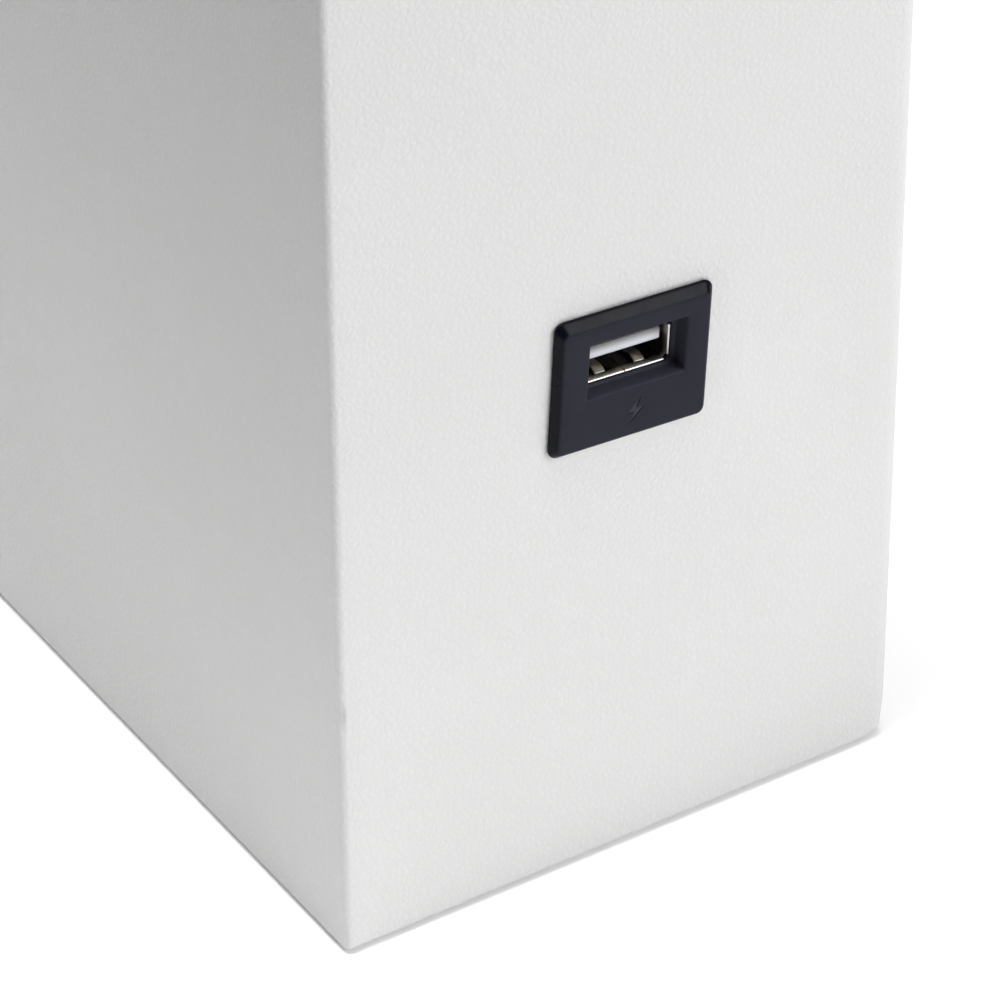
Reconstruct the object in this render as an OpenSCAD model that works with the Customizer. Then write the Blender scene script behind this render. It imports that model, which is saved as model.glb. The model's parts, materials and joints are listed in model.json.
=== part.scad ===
// Upholstered USB charging post: a timber carcass wrapped in white leatherette,
// one USB-A socket in a black snap-in bezel on the narrow front, a 5 V supply
// and a steel ballast plate inside, and a two-pin appliance inlet at the back.
// Frame: +Z up, socket face towards -Y, origin at the centre of the underside.

/* [Post] */
// Width of the wrapped post, left to right
post_w = 86.6; // [84:0.1:110]
// Depth of the wrapped post, front to back
post_d = 150; // [148:1:220]
// Height of the post above the surface it stands on
post_h = 300; // [220:1:420]
// Thickness of the leatherette
skin_t = 0.9; // [0.7:0.1:1.1]
// Thickness of the foam wadding on the four sides
wad_t = 1.5; // [1.2:0.1:1.8]
// Thickness of the fibreboard panels
panel_t = 9; // [8:0.5:10]
// Thickness of the felt pad under the base
pad_t = 0.6; // [0.4:0.1:1.5]
// How far the felt pad stays inside the outline
pad_inset = 1.1; // [0.8:0.1:3]
// Plan radius of the three tight vertical edges
edge_r = 1.1; // [1:0.1:1.5]
// Plan radius of the front right vertical edge, where the wrap is eased
eased_r = 3; // [1.5:0.1:5]

/* [Socket] */
// Offset of the bezel's centre to the right of the post's centre line
socket_x = 0; // [-8:0.05:8]
// Height of the bezel's centre above the surface
socket_z = 75.4; // [70:0.1:120]
// How far the bezel sits turned clockwise in the front face, in degrees
socket_skew = 3.24; // [-4:0.01:4]
// Width of the bezel flange where it meets the wrap
bezel_w = 23.5; // [23:0.1:26]
// Height of the bezel flange where it meets the wrap
bezel_h = 19.7; // [19:0.1:22]
// How far the bezel flange stands proud of the wrap
bezel_t = 1.39; // [1.2:0.01:1.8]
// How far the bevel takes the front face in on each side
bezel_bevel = 0.85; // [0.5:0.05:1.1]
// Width of the recess in front of the shell
recess_w = 14.4; // [14.2:0.1:15]
// Height of the recess in front of the shell
recess_h = 8; // [7.6:0.1:8.4]
// Depth of the recess below the bezel's front face
recess_d = 2.4; // [2:0.1:2.6]

/* [Inlet] */
// Height of the appliance inlet's centre above the surface
inlet_z = 42; // [40:0.5:60]
// Distance between the two inlet pins
pin_gap = 8.6; // [8.6:0.1:8.6]
// Diameter of an inlet pin
pin_d = 2.4; // [2.4:0.1:2.4]

/* [Hidden] */
$fn = 48;
e = 0.01;
w2 = post_w / 2;
d2 = post_d / 2;
wrap_t = skin_t + wad_t;
cx = w2 - wrap_t;                    // half width of the bare carcass
cy = d2 - wrap_t;                    // half depth of the bare carcass
ix = cx - panel_t;                   // half width inside the panels
iy = cy - panel_t;                   // half depth inside the panels
z_hem = pad_t;                       // underside of the turned-under hem
z_pan = pad_t + skin_t;              // underside of the side panels
z_inlay = post_h - skin_t;           // underside of the top inlay
z_ring = z_inlay - skin_t;           // top of the top panel
z_top = z_ring - panel_t;            // underside of the top panel
post_s = 14;                         // side of a corner post
z_floor = z_hem + panel_t;           // top of the base board
plate_t = 8;
z_plate = z_floor + plate_t;         // top of the ballast plate
bx = ix - post_s / 2;                // corner post centres
by = iy - post_s / 2;
// Socket, in its own frame: x right, y inwards from the wrap, z up
mouth = recess_d - bezel_t + 0.15;   // shell mouth
shell_w = 13.1;
shell_h = 5.72;
shell_t = 0.3;
shell_l = 13.8;
shell_z = 1.6;                       // shell centre above the bezel centre
floor_z = shell_z - shell_h / 2;     // outer face of the shell's floor
roof_z = shell_z + shell_h / 2;
tongue_z = roof_z - shell_t - 2.5;   // underside of the tongue
tongue_t = 1.84;
board_z = floor_z - 0.75;            // top of the small board
bezel_dx = -0.2;                     // the flange lies this far off the socket's centre
top_bevel = 1.35;                    // the flange's upper bevel is wider than the others
barb_y = wrap_t + panel_t + 0.15;    // where a snap barb bears on the panel
sleeve_l = 20;
contact_x = [-3.5, -1, 1, 3.5];
finger_x = [-2.95, 2.95];
finger_w = 2.4;

module at_socket() translate([socket_x, -d2, socket_z]) rotate([0, socket_skew, 0]) children();
module at_inlet() translate([0, d2, inlet_z]) rotate([0, 0, 180]) children();
// A flat outline in x and z, made into a slab from y0 to y1
module yslab(y0, y1) translate([0, y1, 0]) rotate([90, 0, 0]) linear_extrude(y1 - y0) children();
// A flat outline in y and z, made into a slab from x0 to x1
module xslab(x0, x1) translate([x0, 0, 0]) rotate([90, 0, 90]) linear_extrude(x1 - x0) children();
module box(a, b) translate(a) cube(b - a);
module rrect(w, h, r) {
    square([w - 2 * r, h], center = true);
    square([w, h - 2 * r], center = true);
    for (i = [-1, 1], j = [-1, 1]) translate([i * (w / 2 - r), j * (h / 2 - r)]) circle(r);
}
// Plan of the wrapped post, taken in by t all round
module plan(t) {
    a = w2 - t; b = d2 - t;
    r = max(edge_r - t, 0.2); q = max(eased_r - t, 0.2);
    polygon([[-a + r, -b], [a - q, -b], [a, -b + q], [a, b - r], [a - r, b],
        [-a + r, b], [-a, b - r], [-a, -b + r]]);
    for (p = [[-a + r, -b + r], [-a + r, b - r], [a - r, b - r]]) translate(p) circle(r);
    translate([a - q, -b + q]) circle(q);
}
module screw(d, l, head, sink) {
    // countersunk screw, head down, flush at z = 0
    cylinder(d1 = head, d2 = d, h = sink);
    cylinder(d = d, h = l - d);
    translate([0, 0, l - d]) cylinder(d1 = d, d2 = 0.6, h = d);
}
module screw_hole(d, l, head, sink) {
    translate([0, 0, -e]) cylinder(d = d, h = l + 2 * e);
    translate([0, 0, -e]) cylinder(d1 = head + 2 * e, d2 = d, h = sink + e);
}

// ---------- wrap ----------
module socket_cut(g) at_socket() box([-9.1 - g, -3, -5.8 - g], [9.1 + g, wrap_t + panel_t + 1, 6.4 + g]);
module inlet_cut(g) at_inlet() box([-11.2 - g, -3, -7.5 - g], [11.2 + g, wrap_t + panel_t + 1, 7.5 + g]);

module leatherette_cover() color([0.91, 0.91, 0.90]) difference() {
    translate([0, 0, z_hem]) linear_extrude(z_inlay - z_hem) plan(0);
    translate([0, 0, z_pan]) linear_extrude(z_ring - z_pan) plan(skin_t);
    // the hem turned under the panels, and the ring turned over the top
    box([-ix, -iy, z_hem - 1], [ix, iy, z_pan + 1]);
    box([-w2 + 11, -d2 + 11, z_ring - 1], [w2 - 11, d2 - 11, post_h]);
    // butt seam down the back
    box([w2 - 14.1, d2 - 5, z_hem - 1], [w2 - 13.9, d2 + 1, post_h]);
    box([w2 - 14.1, d2 - 13, z_hem - 1], [w2 - 13.9, d2 + 1, z_pan]);
    box([w2 - 14.1, d2 - 13, z_ring], [w2 - 13.9, d2 + 1, post_h]);
    socket_cut(0.4);
    inlet_cut(0.4);
}
module top_inlay() color([0.91, 0.91, 0.90])
    translate([0, 0, z_inlay]) linear_extrude(skin_t) rrect(post_w - 2.4, post_d - 2.4, 2);

wad_q = eased_r - skin_t;
module wadding_front() color([0.95, 0.94, 0.86]) difference() {
    box([-w2 + skin_t + 0.2, -d2 + skin_t, z_pan + 0.1], [w2 - skin_t - wad_q, -cy, z_ring - 0.1]);
    socket_cut(0.6);
}
module wadding_back() color([0.95, 0.94, 0.86]) difference() {
    box([-w2 + skin_t + 0.2, cy, z_pan + 0.1], [w2 - skin_t - 0.2, d2 - skin_t, z_ring - 0.1]);
    inlet_cut(0.6);
}
module wadding_left() color([0.95, 0.94, 0.86])
    box([-w2 + skin_t, -cy, z_pan + 0.1], [-cx, cy, z_ring - 0.1]);
module wadding_right() color([0.95, 0.94, 0.86])
    box([cx, -d2 + skin_t + wad_q, z_pan + 0.1], [w2 - skin_t, cy, z_ring - 0.1]);
module wadding_top() color([0.95, 0.94, 0.86])
    box([-w2 + 11.1, -d2 + 11.1, z_ring], [w2 - 11.1, d2 - 11.1, z_inlay]);

// ---------- carcass ----------
module front_panel() color([0.72, 0.56, 0.38]) difference() {
    box([-cx, -cy, z_pan], [cx, -iy, z_top]);
    socket_cut(0.2);
}
module back_panel() color([0.72, 0.56, 0.38]) difference() {
    box([-cx, iy, z_pan], [cx, cy, z_top]);
    inlet_cut(0.2);
}
module left_panel() color([0.75, 0.59, 0.41]) box([-cx, -iy, z_pan], [-ix, iy, z_top]);
module right_panel() color([0.75, 0.59, 0.41]) box([ix, -iy, z_pan], [cx, iy, z_top]);
module top_panel() color([0.74, 0.58, 0.40]) box([-cx, -cy, z_top], [cx, cy, z_ring]);

module four(x, y) for (i = [-1, 1], j = [-1, 1]) translate([i * x, j * y, 0]) children();
module base_board() color([0.70, 0.54, 0.36]) difference() {
    box([-ix + 0.15, -iy + 0.15, z_hem], [ix - 0.15, iy - 0.15, z_floor]);
    four(bx, by) translate([0, 0, z_hem]) screw_hole(3.6, panel_t, 7.2, 2);
    four(24, 40) translate([0, 0, z_floor - 7]) cylinder(d = 3.6, h = 8);
}
module corner_posts() color([0.84, 0.70, 0.48]) difference() {
    four(bx, by) box([-post_s / 2, -post_s / 2, z_floor], [post_s / 2, post_s / 2, z_top]);
    four(bx, by) translate([0, 0, z_floor - 1]) cylinder(d = 3.6, h = 27);
}
module base_screws() color([0.78, 0.74, 0.55])
    four(bx, by) translate([0, 0, z_hem]) screw(3.5, 32, 7, 1.9);
module ballast_plate() color([0.42, 0.44, 0.46]) difference() {
    box([-ix + 1.2, -iy + post_s + 1.6, z_floor], [ix - 1.2, iy - post_s - 1.6, z_plate]);
    four(24, 40) translate([0, 0, z_plate]) mirror([0, 0, 1]) screw_hole(3.8, plate_t, 7.2, 2);
    for (j = [-1, 1]) translate([0, j * 39.5, z_plate - 5]) cylinder(d = 3, h = 6);
}
module ballast_screws() color([0.72, 0.73, 0.75])
    four(24, 40) translate([0, 0, z_plate]) mirror([0, 0, 1]) screw(3.5, 14.5, 7, 1.9);
module staple() {
    box([-4.5, -0.45, 0], [4.5, 0.45, 0.5]);
    for (i = [-1, 1]) translate([i * 4.2, 0, 0]) box([-0.3, -0.45, 0], [0.3, 0.45, 7]);
}
module hem_staples() color([0.70, 0.71, 0.72]) translate([0, 0, z_hem]) {
    for (i = [-1, 1], y = [-50, -25, 0, 25, 50])
        translate([i * (ix + 4.5), y, 0]) rotate([0, 0, 90]) staple();
    for (j = [-1, 1], x = [-20, 4, 22]) translate([x * -j, j * (iy + 4.5), 0]) staple();
}
module felt_pad() color([0.42, 0.43, 0.45])
    linear_extrude(pad_t) rrect(post_w - 2 * pad_inset, post_d - 2 * pad_inset, 3);

// ---------- socket ----------
module bolt_mark() polygon([[0.5, 1.15], [-0.85, -0.2], [-0.1, -0.2], [-0.5, -1.15], [0.85, 0.2], [0.1, 0.2]]);
module barb(reach) polygon([[0, 0], [reach, 0], [reach, 0.5], [0, 3.4]]);
module socket_bezel() color([0.10, 0.10, 0.13]) at_socket() {
    difference() {
        union() {
            hull() {
                translate([bezel_dx, 0, 0]) yslab(-0.35, 0) rrect(bezel_w, bezel_h, 1.4, $fn = 32);
                translate([bezel_dx, 0, (bezel_bevel - top_bevel) / 2]) yslab(-bezel_t, -bezel_t + 0.1)
                    rrect(bezel_w - 2 * bezel_bevel, bezel_h - bezel_bevel - top_bevel, 0.8, $fn = 32);
            }
            box([-9.1, -0.1, -5.8], [9.1, sleeve_l, 6.4]);
        }
        // recess in the face, then the opening for the shell, then the hollow sleeve
        box([-recess_w / 2, -bezel_t - 1, 2.05 - recess_h / 2], [recess_w / 2 + 0.25, recess_d - bezel_t, 2.05 + recess_h / 2]);
        box([-shell_w / 2 - 0.1, 0, floor_z - 0.1], [shell_w / 2 + 0.1, 4, roof_z + 0.1]);
        box([-7.9, 2.3, -4.6], [7.9, sleeve_l + 1, 5.2]);
        // slots that free the two snap arms
        for (i = [-1, 1]) {
            for (z = [-2.5, 3.1]) box([i * 8.5 - 1, 4.5, z - 0.6], [i * 8.5 + 1, 17.2, z]);
            box([i * 8.5 - 1, 16.6, -3.1], [i * 8.5 + 1, 17.2, 3.1]);
        }
        // small lightning mark cut into the face
        translate([0.2, 0, -5.5]) yslab(-bezel_t - 1, -bezel_t + 0.1) scale(1.6) bolt_mark();
    }
    for (i = [-1, 1]) {
        translate([i * 9.1, barb_y, -2.4]) mirror([i < 0 ? 1 : 0, 0, 0]) linear_extrude(4.8) barb(1.1);
        // rails that carry the small board
        box([i * 7.5 - 0.45, 5, -4.7], [i * 7.5 + 0.45, 19, board_z - 1.22]);
    }
}
module finger_gap(z0, z1) for (x = finger_x)
    box([x - finger_w / 2 - 0.15, mouth + 0.95, z0], [x + finger_w / 2 + 0.15, mouth + 7.4, z1]);
module socket_shell() color([0.80, 0.78, 0.74]) at_socket() difference() {
    union() {
        difference() {
            translate([0, 0, shell_z]) yslab(mouth, mouth + shell_l) rrect(shell_w, shell_h, 0.7);
            translate([0, 0, shell_z]) yslab(mouth - 1, mouth + shell_l + 1)
                rrect(shell_w - 2 * shell_t, shell_h - 2 * shell_t, 0.4);
        }
        // back flap, folded down behind the insulator
        box([-6, mouth + shell_l - shell_t, tongue_z + 1], [6, mouth + shell_l, roof_z - 0.1]);
        // four legs through the small board
        for (i = [-1, 1], y = [4.4, 12.4])
            box([i * (shell_w / 2 - 0.15) - 0.15, y, floor_z - 3], [i * (shell_w / 2 - 0.15) + 0.15, y + 1.2, shell_z]);
    }
    finger_gap(floor_z - 0.1, floor_z + shell_t + 0.1);
    finger_gap(roof_z - shell_t - 0.1, roof_z + 0.1);
    // open corners between the four lips of the mouth
    for (i = [-1, 1], j = [-1, 1]) translate([i * shell_w / 2, mouth, shell_z + j * shell_h / 2]) box([-0.7, -1, -0.7], [0.7, 0.6, 0.7]);
    // the seam where the strip closes
    box([-0.06, mouth - 1, floor_z - 1], [0.06, mouth + shell_l + 1, floor_z + shell_t + 0.2]);
}
// Spring finger, root at y 7.25 and tip at the mouth, bowed into the shell
module finger(i) translate([finger_x[i], mouth, 0]) xslab(-finger_w / 2, finger_w / 2)
    polygon([[7.25, 0.30], [5.5, 0.36], [2.9, 0.74], [2.2, 0.76], [1.55, 0.56], [1.08, 0.18],
        [1.32, 0.02], [1.75, 0.27], [2.3, 0.46], [2.9, 0.44], [5.5, 0.06], [7.25, 0]]);
module finger_lower_left() color([0.76, 0.73, 0.68]) at_socket() translate([0, 0, floor_z]) finger(0);
module finger_lower_right() color([0.76, 0.73, 0.68]) at_socket() translate([0, 0, floor_z]) finger(1);
module finger_upper_left() color([0.76, 0.73, 0.68]) at_socket() translate([0, 0, roof_z]) mirror([0, 0, 1]) finger(0);
module finger_upper_right() color([0.76, 0.73, 0.68]) at_socket() translate([0, 0, roof_z]) mirror([0, 0, 1]) finger(1);

module tail_strip(x, g) translate([x, mouth, tongue_z]) {
    box([-0.5 - g, 9.75, 0.25 - g], [0.5 + g, 14.25, 0.5 + g]);
    box([-0.3 - g, 14, floor_z - tongue_z - 2.6], [0.3 + g, 14.25, 0.5 + g]);
}
module socket_tongue() color([0.90, 0.91, 0.96]) at_socket() difference() {
    union() {
        // tongue with a small lead-in at its lower front edge
        xslab(-5.35, 5.35) polygon([[mouth + 0.57, tongue_z + 0.3], [mouth + 0.85, tongue_z], [mouth + 11, tongue_z],
            [mouth + 11, tongue_z + tongue_t], [mouth + 0.75, tongue_z + tongue_t], [mouth + 0.57, tongue_z + tongue_t - 0.2]]);
        box([-6.2, mouth + 10.6, floor_z + 0.35], [6.2, mouth + 13.4, roof_z - 0.35]);
    }
    for (x = contact_x) {
        translate([x, mouth, tongue_z]) box([-0.62, 0.98, -1], [0.62, 10.6 - e, 0.95]);
        tail_strip(x, 0);
        translate([x, mouth, tongue_z]) box([-0.62, 9, -0.4], [0.62, 10.6, 0.95]);
    }
}
// Contact beam, root at y 9.6, bowed below the tongue near the mouth
module contact(i) color([0.86, 0.72, 0.42]) at_socket() translate([contact_x[i], mouth, tongue_z]) xslab(-0.5, 0.5)
    polygon([[9.6, 0.50], [8, 0.49], [3, -0.10], [2.4, -0.12], [1.85, 0.10], [1.4, 0.44],
        [1.18, 0.30], [1.68, -0.12], [2.3, -0.37], [3, -0.35], [8, 0.23], [9.6, 0.25]]);
module contact_1() contact(0);
module contact_2() contact(1);
module contact_3() contact(2);
module contact_4() contact(3);
module contact_tails() color([0.84, 0.70, 0.42]) at_socket() for (x = contact_x) tail_strip(x, 0);

module socket_board() color([0.05, 0.32, 0.16]) at_socket() difference() {
    box([-7.4, 4, board_z - 1.2], [7.4, 22, board_z]);
    for (i = [-1, 1], y = [4.4, 12.4])
        box([i * (shell_w / 2 - 0.15) - 0.3, y - 0.15, board_z - 2], [i * (shell_w / 2 - 0.15) + 0.3, y + 1.35, board_z + 1]);
    for (x = contact_x) translate([x, mouth + 14.12, board_z - 2]) cylinder(d = 1, h = 3);
}
module socket_chips() color([0.12, 0.12, 0.13]) at_socket() {
    box([-6.9, 17, board_z], [-4.3, 20, board_z + 1]);
    box([4.6, 16.8, board_z], [6.2, 17.6, board_z + 0.8]);
    box([4.6, 18.2, board_z], [6.2, 19, board_z + 0.8]);
    box([4.4, 19.8, board_z], [6.6, 21.2, board_z + 0.6]);
    box([-6.6, 20.8, board_z], [-5, 21.6, board_z + 0.7]);
}
module socket_header() color([0.93, 0.92, 0.86]) at_socket() difference() {
    box([-3.9, 17.4, board_z], [3.9, 21.8, board_z + 5]);
    box([-3.1, 18.4, board_z + 0.8], [3.1, 22, board_z + 4.2]);
}
module lead_plug() color([0.94, 0.93, 0.88]) at_socket() difference() {
    union() {
        box([-3, 18.6, board_z + 0.9], [3, 27, board_z + 4.1]);
        box([-1.2, 22.2, board_z + 4], [1.2, 26, board_z + 4.7]);
    }
    for (x = [-1.25, 1.25]) translate([x, 24, board_z + 2.5]) rotate([-90, 0, 0]) cylinder(d = 1.7, h = 4);
}
module socket_rear_cap() color([0.12, 0.12, 0.14]) at_socket() difference() {
    union() {
        box([-9.1, sleeve_l, -5.8], [9.1, 25, 6.4]);
        box([-7.8, sleeve_l - 2, 3.4], [7.8, sleeve_l + 1, 5.1]);
    }
    box([-7.9, sleeve_l - 3, -4.6], [7.9, 23.8, 4.4]);
    box([-4.1, 20, board_z - 0.2], [4.1, 26, board_z + 5.2]);
}

// ---------- inlet ----------
module inlet_body() color([0.09, 0.09, 0.10]) at_inlet() difference() {
    union() {
        yslab(-bezel_t, 0) rrect(29, 21, 2);
        box([-11.2, -0.1, -7.5], [11.2, 20, 7.5]);
        for (i = [-1, 1]) translate([i * 11.2, barb_y, -3]) mirror([i < 0 ? 1 : 0, 0, 0]) linear_extrude(6) barb(1.1);
    }
    // figure-eight recess round the pins
    for (i = [-1, 1]) translate([i * 3.3, 12.5, 0]) rotate([90, 0, 0]) cylinder(r = 4.9, h = 20);
    for (i = [-1, 1]) box([i * pin_gap / 2 - 1.32, 9, -1.32], [i * pin_gap / 2 + 1.32, 21, 1.32]);
}
module inlet_pins() color([0.82, 0.82, 0.80]) at_inlet() for (i = [-1, 1]) translate([i * pin_gap / 2, 0, 0]) {
    // a square shank in the body, then the pin in the recess with a round end
    box([-1.3, 12.5, -1.3], [1.3, 21, 1.3]);
    translate([0, 12.6, 0]) rotate([90, 0, 0]) cylinder(d = pin_d, h = 9.6);
    translate([0, 3, 0]) sphere(d = pin_d);
    box([-0.4, 19.8 + 1, -2.4], [0.4, 27, 2.4]);
}
module inlet_boots() color([0.80, 0.16, 0.14]) at_inlet() for (i = [-1, 1]) translate([i * pin_gap / 2, 0, 0]) difference() {
    box([-1.7, 22, -3.4], [1.7, 31, 3.4]);
    box([-0.45, 21, -2.5], [0.45, 27.5, 2.5]);
    translate([0, 28, 0]) rotate([-90, 0, 0]) cylinder(d = 2.2, h = 4);
}

// ---------- leads ----------
function unit(v) = v / norm(v);
// A smooth curve through the points p, n steps from each to the next
function curve(p, n) = [for (i = [0 : len(p) - 2], j = [0 : n - 1])
    let(a = p[max(i - 1, 0)], b = p[i], c = p[i + 1], d = p[min(i + 2, len(p) - 1)], t = j / n)
    0.5 * (2 * b + t * (c - a) + t * t * (2 * a - 5 * b + 4 * c - d) + t * t * t * (3 * b - 3 * c + d - a))];
module lead(p, d, sides = 8, n = 4) {
    c = concat(curve(p, n), [p[len(p) - 1]]);
    m = len(c);
    t = [for (i = [0 : m - 1]) unit(c[min(i + 1, m - 1)] - c[max(i - 1, 0)])];
    s = [for (i = 0, k = unit(cross(t[0], [0, 0, 1])); i < m;
        k = i + 1 < m ? unit(k - t[i + 1] * (k * t[i + 1])) : k, i = i + 1) k];
    polyhedron(
        points = [for (i = [0 : m - 1], j = [0 : sides - 1])
            c[i] + d / 2 * (cos(360 * j / sides) * s[i] + sin(360 * j / sides) * cross(t[i], s[i]))],
        faces = concat(
            [for (i = [0 : m - 2], j = [0 : sides - 1]) let(k = (j + 1) % sides)
                [i * sides + j, (i + 1) * sides + j, (i + 1) * sides + k, i * sides + k]],
            [[for (j = [0 : sides - 1]) j]],
            [[for (j = [sides - 1 : -1 : 0]) (m - 1) * sides + j]]));
}
tz = z_plate + 15.2;                 // height of the leads where they enter the supply
sc = [cos(socket_skew), sin(socket_skew)];
// Row position of a point x, y, z in the socket's frame
function sock(x, y, z) = [socket_x + x * sc[0] + z * sc[1], y - d2, socket_z - x * sc[1] + z * sc[0]];
module main_lead(i) lead([[i * 4.3, d2 - 28.5, inlet_z], [i * 4.3, d2 - 31.5, inlet_z], [i * 4.7, d2 - 35, inlet_z + 3],
    [i * 6, d2 - 36, inlet_z + 8], [i * 9, d2 - 35.5, inlet_z + 12], [i * 12, d2 - 35, inlet_z + 10],
    [i * 13, d2 - 34.5, inlet_z + 3], [i * 11.5, d2 - 35, tz + 3.2], [i * 8, d2 - 36, tz + 0.6], [i * 4.6, d2 - 37.5, tz],
    [i * 3.6, d2 - 40, tz], [i * 3.6, d2 - 46.5, tz]], 2);
module live_lead() color([0.42, 0.24, 0.12]) main_lead(-1);
module neutral_lead() color([0.10, 0.28, 0.62]) main_lead(1);
module low_lead(i) lead([sock(i * 1.25, 24.5, board_z + 2.5), sock(i * 1.25, 27.5, board_z + 2.5), sock(i * 1.3 - 1.5, 32, board_z + 1.8),
    [-7, -39 + i * 1.3, socket_z - 4], [-16, -34 + i * 1.1, socket_z - 9], [-24, -31 + i, socket_z - 14], [-27.2, -31 + i, socket_z - 20],
    [-27.2, -31 + i, 50], [-24.5, -34 + i, 43], [-17.5, -39.8 + i * 1.2, 37], [-8.5, -42 + i * 1.1, tz + 1],
    [-i * 2 - 2.5, -40.2 + i * 0.4, tz], [-i * 2, -36, tz], [-i * 2, -28.5, tz]], 1.5);
module positive_lead() color([0.78, 0.10, 0.10]) low_lead(1);
module negative_lead() color([0.08, 0.08, 0.09]) low_lead(-1);
module lead_clip() color([0.90, 0.90, 0.88]) {
    box([-ix, -35, 48.5], [-ix + 1.4, -27, 56.5]);
    difference() {
        union() {
            translate([-27.2, -31, 50]) cylinder(r = 3, h = 5);
            box([-ix, -32.5, 50], [-28, -29.5, 55]);
        }
        translate([-27.2, -31, 49]) cylinder(r = 2.1, h = 7);
    }
}

// ---------- supply ----------
module supply_tray() color([0.16, 0.16, 0.17]) difference() {
    union() {
        box([-19, -35, z_plate], [19, 35, z_plate + 18]);
        for (j = [-1, 1]) translate([0, j * 39.5, z_plate]) linear_extrude(2) rrect(10, 9.6, 2);
    }
    difference() {
        box([-17.2, -33.2, z_plate + 1.8], [17.2, 33.2, z_plate + 19]);
        for (i = [-1, 1], j = [-1, 1]) translate([i * 14, j * 29, z_plate]) cylinder(d = 4, h = 5);
    }
    for (j = [-1, 1]) translate([0, j * 39.5, z_plate - 1]) cylinder(d = 3.2, h = 5);
    for (j = [-1, 1]) box([-6, j * 34.1 - 1.5, tz - 1.4], [6, j * 34.1 + 1.5, z_plate + 19]);
}
module supply_lid() color([0.18, 0.18, 0.19]) difference() {
    union() {
        box([-19, -35, z_plate + 18], [19, 35, z_plate + 26]);
        box([-17.1, -33.1, z_plate + 16.8], [17.1, 33.1, z_plate + 19]);
    }
    box([-15.9, -31.9, z_plate + 16], [15.9, 31.9, z_plate + 24.2]);
    for (j = [-1, 1]) box([-6.2, j * 33 - 1.5, z_plate + 16], [6.2, j * 33 + 1.5, z_plate + 18]);
}
pz = z_plate + 6.6;                  // top of the supply's board
module supply_board() color([0.06, 0.34, 0.18]) box([-16.5, -32.5, pz - 1.6], [16.5, 32.5, pz]);
module supply_fuse() {
    color([0.80, 0.82, 0.84]) for (j = [-1, 1]) translate([-11.5, 11 + j * 7.5, pz + 3.4]) rotate([90, 0, 0]) cylinder(d = 5.2, h = 4, center = true);
    color([0.85, 0.88, 0.90]) translate([-11.5, 11, pz + 3.4]) rotate([90, 0, 0]) cylinder(d = 4.8, h = 12, center = true);
    color([0.7, 0.7, 0.7]) for (j = [-1, 1]) box([-13.2, 10.4 + j * 7.5, pz], [-9.8, 11.6 + j * 7.5, pz + 2]);
}
module bulk_capacitor() color([0.10, 0.12, 0.30]) translate([9.5, 9, pz]) {
    cylinder(d = 10, h = 14.6);
    translate([0, 0, 0]) cylinder(d = 10.4, h = 1.2);
}
module output_capacitors() color([0.08, 0.10, 0.12]) for (x = [-11.6, 11.6]) translate([x, -24, pz]) {
    cylinder(d = 8, h = 11.5);
    cylinder(d = 8.3, h = 1);
}
module transformer_core() color([0.24, 0.23, 0.22]) translate([0, -10, pz]) difference() {
    box([-8.5, -8, 2.6], [8.5, 8, 15.6]);
    for (i = [-1, 1]) box([i * 5 - 1.9, -9, 4.9], [i * 5 + 1.9, 9, 13.3]);
}
module transformer_coil() color([0.90, 0.78, 0.28]) translate([0, -10, pz]) {
    for (j = [-1, 1]) box([-6.8, j * 9 - 0.9, 0], [6.8, j * 9 + 0.9, 13.2]);
    for (i = [-1, 1]) box([i * 5 - 1.8, -8.5, 5], [i * 5 + 1.8, 8.5, 13.2]);
}
module supply_chips() color([0.10, 0.10, 0.11]) {
    box([8, 19, pz], [13.5, 24, pz + 3]);
    box([-14.5, -7, pz], [-10.5, -2, pz + 1.6]);
    box([11, -13, pz], [15, -8, pz + 4.4]);
}
module terminals(j) {
    difference() {
        box([-6.5, j * 28 - 3.6, pz], [6.5, j * 28 + 3.6, pz + 11.6]);
        for (i = [-1, 1]) translate([i * (j > 0 ? 3.6 : 2), j * 31.7, tz]) rotate([90 * j, 0, 0]) cylinder(d = j > 0 ? 2.1 : 1.6, h = 4);
        for (i = [-1, 1]) translate([i * 3.4, j * 28 - j * 1.2, pz + 10]) cylinder(d = 3, h = 3);
    }
}
module mains_terminals() color([0.10, 0.42, 0.22]) terminals(1);
module output_terminals() color([0.10, 0.42, 0.22]) terminals(-1);
module supply_screws() color([0.76, 0.77, 0.78]) for (j = [-1, 1]) translate([0, j * 39.5, z_plate]) {
    translate([0, 0, -4.5]) cylinder(d = 2.95, h = 7);
    translate([0, 0, 2]) cylinder(d = 5.6, h = 1.9);
}

leatherette_cover();
top_inlay();
wadding_front();
wadding_back();
wadding_left();
wadding_right();
wadding_top();
front_panel();
back_panel();
left_panel();
right_panel();
top_panel();
base_board();
corner_posts();
base_screws();
hem_staples();
felt_pad();
ballast_plate();
ballast_screws();
socket_bezel();
socket_shell();
finger_lower_left();
finger_lower_right();
finger_upper_left();
finger_upper_right();
socket_tongue();
contact_1();
contact_2();
contact_3();
contact_4();
contact_tails();
socket_board();
socket_chips();
socket_header();
lead_plug();
socket_rear_cap();
inlet_body();
inlet_pins();
inlet_boots();
live_lead();
neutral_lead();
positive_lead();
negative_lead();
lead_clip();
supply_tray();
supply_lid();
supply_board();
supply_fuse();
bulk_capacitor();
output_capacitors();
transformer_core();
transformer_coil();
supply_chips();
mains_terminals();
output_terminals();
supply_screws();
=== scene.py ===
import json
import math
import bpy
import bmesh
from mathutils import Matrix, Vector, noise

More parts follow.
